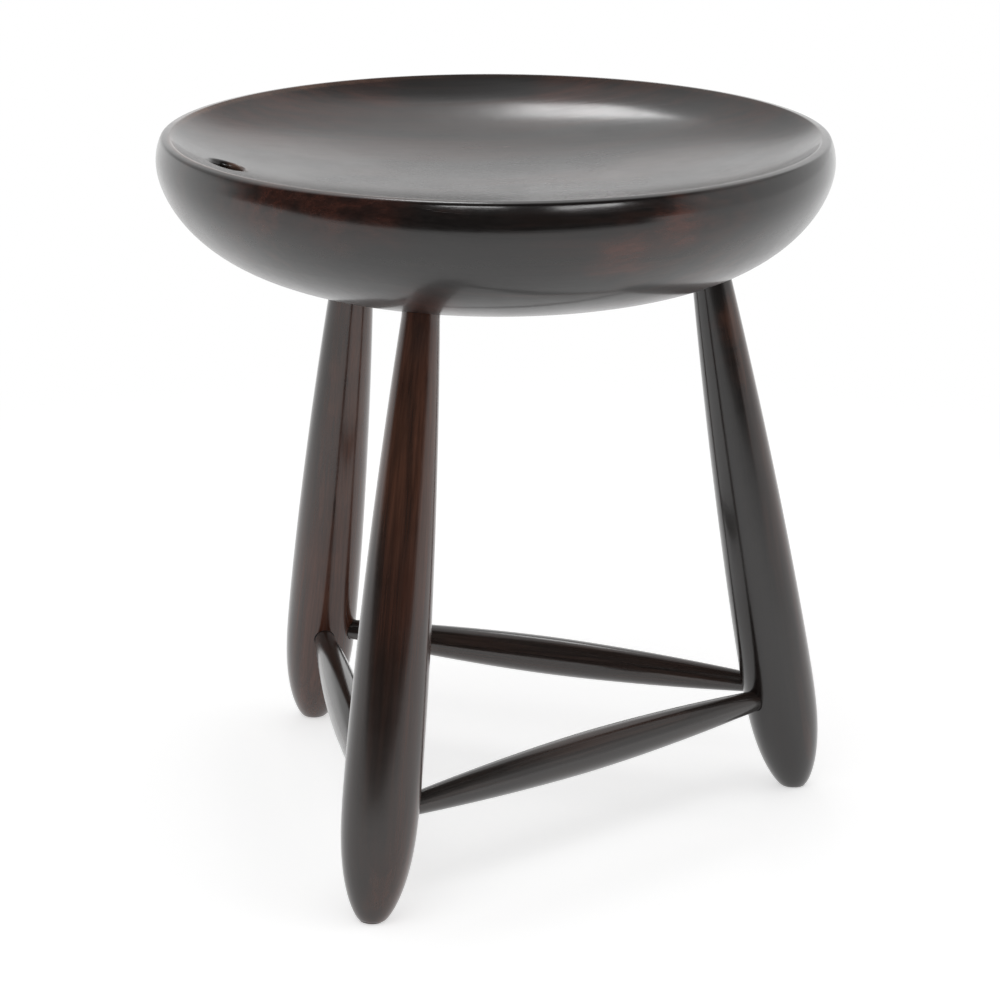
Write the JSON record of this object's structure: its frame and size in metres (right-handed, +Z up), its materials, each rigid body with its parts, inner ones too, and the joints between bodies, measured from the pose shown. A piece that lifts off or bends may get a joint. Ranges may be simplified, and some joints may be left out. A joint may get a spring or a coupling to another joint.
{
  "type": "wooden stool",
  "caption": "Low round stool of dark lacquered wood: thick dished seat with a grip hole, splayed turned legs and spindle stretchers between them.",
  "frame": {"origin": "on the floor, under the middle of the seat", "axes": "+Z up through the middle of the seat; +X from the middle towards the right foot, opposite the grip hole"},
  "size_m": [0.4312, 0.424, 0.45],
  "materials": {
    "seat_wood": "dark stained wood under satin lacquer",
    "leg_wood": "dark stained wood under satin lacquer",
    "stretcher_wood": "dark stained wood under satin lacquer"
  },
  "bodies": {
    "root": {"seat": "seat_wood", "leg_right": "leg_wood", "leg_rear": "leg_wood", "leg_front": "leg_wood", "stretcher_right_rear": "stretcher_wood", "stretcher_rear_front": "stretcher_wood", "stretcher_front_right": "stretcher_wood"}
  },
  "joints": []
}
